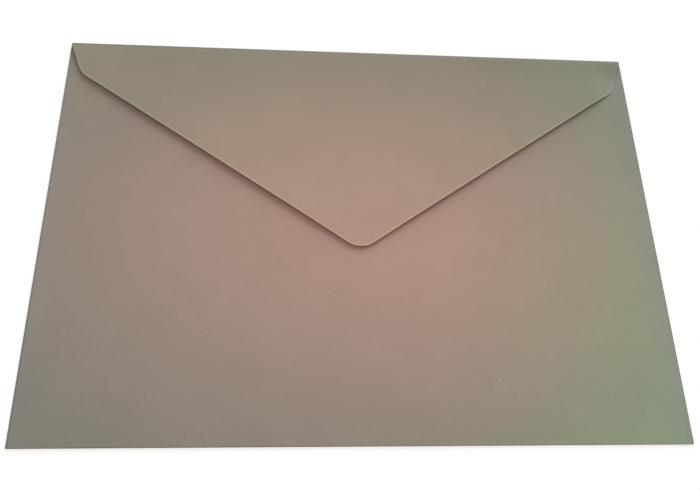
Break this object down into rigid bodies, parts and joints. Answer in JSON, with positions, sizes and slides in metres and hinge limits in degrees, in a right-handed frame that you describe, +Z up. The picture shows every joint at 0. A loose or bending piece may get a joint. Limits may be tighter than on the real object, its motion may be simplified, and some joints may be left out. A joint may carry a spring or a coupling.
{
  "type": "kraft envelope",
  "caption": "Kraft paper envelope lying face down, with side seams inside, gummed pointed seal flap folded shut over the back and hinged on its top crease.",
  "frame": {"origin": "on the surface the envelope lies on, under the middle of the closed envelope", "axes": "+X along the long sides, +Y from the bottom fold to the top crease, +Z up, out of the back"},
  "size_m": [0.229, 0.162, 0.0025],
  "materials": {
    "kraft": "matte",
    "kraft_fold": "matte",
    "seam_glue": "satin",
    "flap_gum": "gloss"
  },
  "bodies": {
    "pocket": {"front_panel": "kraft", "side_fold_right": "kraft_fold", "side_fold_left": "kraft_fold", "seam_flap_right": "kraft", "seam_flap_left": "kraft", "seam_glue_right": "seam_glue", "seam_glue_left": "seam_glue", "bottom_fold": "kraft_fold", "back_panel": "kraft", "flap_fold": "kraft_fold"},
    "flap": {"seal_flap": "kraft", "flap_gum": "flap_gum"}
  },
  "joints": [
    {"name": "flap_hinge", "type": "hinge", "parent": "pocket", "child": "flap", "pos_m": [0, 0.07975, 0.00125], "axis": [-1, 0, 0], "range_deg": [0, 179], "deforming": ["flap_fold"]}
  ]
}
